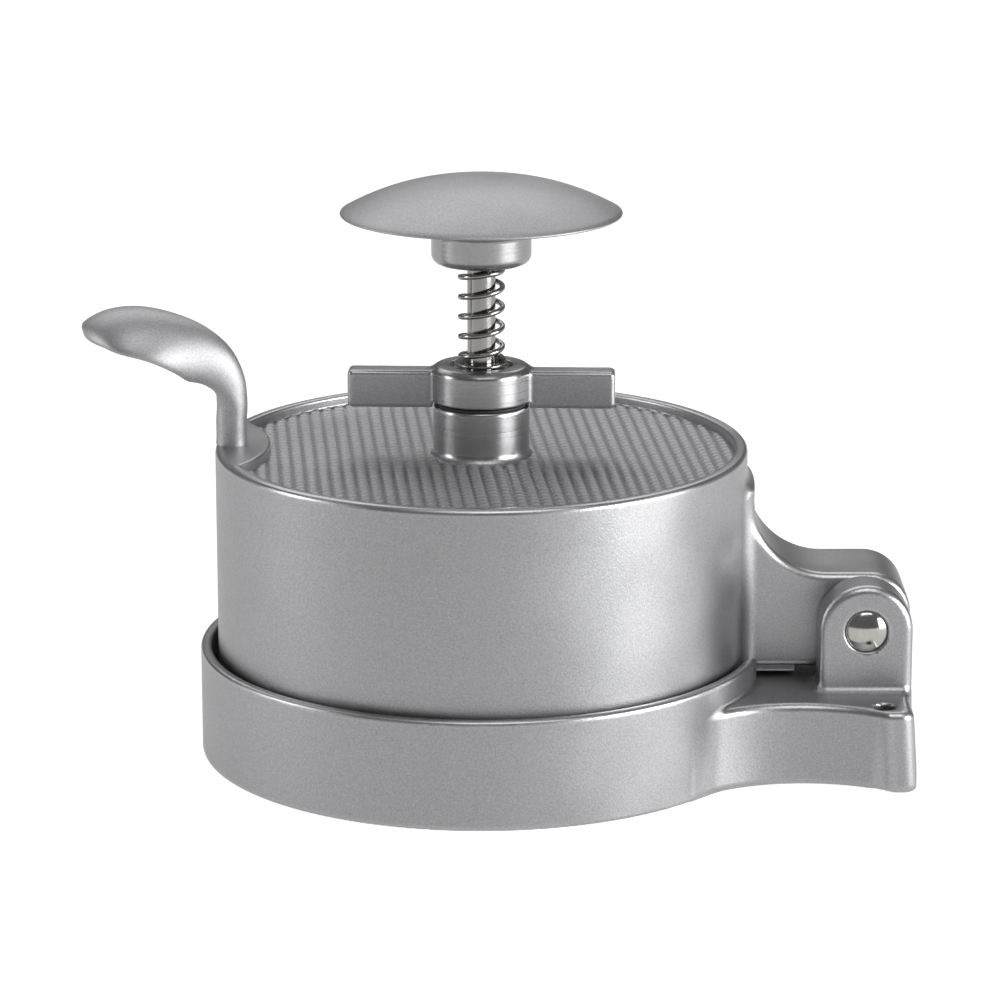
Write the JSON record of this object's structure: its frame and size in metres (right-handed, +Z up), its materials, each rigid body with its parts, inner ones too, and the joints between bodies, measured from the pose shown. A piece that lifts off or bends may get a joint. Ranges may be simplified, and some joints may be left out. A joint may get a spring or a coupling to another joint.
{
  "type": "patty press",
  "caption": "Cast aluminium patty press: hinged ring housing on a dish base, screw thickness adjuster, sprung ejector knob and thumb lever.",
  "frame": {"origin": "on the press axis, level with the flat underside of the base", "axes": "+Z up along the press axis, +X from the press axis to the lid hinge, Y along the hinge pin"},
  "size_m": [0.1877, 0.129, 0.1324],
  "materials": {
    "cast_aluminium": "satin tumbled casting with a fine metallic grain",
    "turned_aluminium": "turned satin aluminium",
    "polished_steel": "polished",
    "spring_steel": "bright drawn wire",
    "threaded_steel": "machined thread",
    "screw_steel": "zinc plated",
    "black_nylon": "matte moulded"
  },
  "bodies": {
    "base": {"base": "cast_aluminium", "hinge_pin": "polished_steel", "hinge_pin_clip": "spring_steel", "hinge_washers": "black_nylon"},
    "housing": {"housing": "cast_aluminium", "lever": "cast_aluminium", "lever_stud": "threaded_steel", "friction_washer": "black_nylon"},
    "spring_carrier": {"lower_spring_washer": "spring_steel", "spring": "spring_steel"},
    "adjuster": {"adjuster_nut": "turned_aluminium", "adjuster_sleeve": "threaded_steel", "adjuster_grub_screw": "screw_steel", "stop_collar": "threaded_steel"},
    "spring_seat": {"upper_spring_washer": "spring_steel"},
    "plunger": {"plunger_rod": "polished_steel", "knob": "cast_aluminium", "knob_grub_screw": "screw_steel", "press_plate": "cast_aluminium", "plate_screw": "screw_steel"}
  },
  "joints": [
    {"name": "lid_hinge", "type": "hinge", "parent": "base", "child": "housing", "pos_m": [0.0865, 0, 0.033], "axis": [0, 1, 0], "range_deg": [0, 100]},
    {"name": "thickness_travel", "type": "slide", "parent": "housing", "child": "spring_carrier", "axis": [0, 0, 1], "range_m": [0, 0.02]},
    {"name": "adjuster_turn", "type": "hinge", "parent": "spring_carrier", "child": "adjuster", "pos_m": [0, 0, 0.0855], "axis": [0, 0, 1], "range_deg": [0, 2880]},
    {"name": "eject_stroke", "type": "slide", "parent": "spring_carrier", "child": "spring_seat", "axis": [0, 0, -1], "range_m": [0, 0.0119], "stiffness_N_per_m": 1500, "springref_m": -0.006, "deforming": ["spring"]},
    {"name": "plunger_spin", "type": "hinge", "parent": "spring_seat", "child": "plunger", "pos_m": [0, 0, 0.1], "axis": [0, 0, 1], "continuous": true}
  ],
  "couplings": [
    {"joint": "adjuster_turn", "follows": "thickness_travel", "rad_per_m": 2513.3}
  ]
}
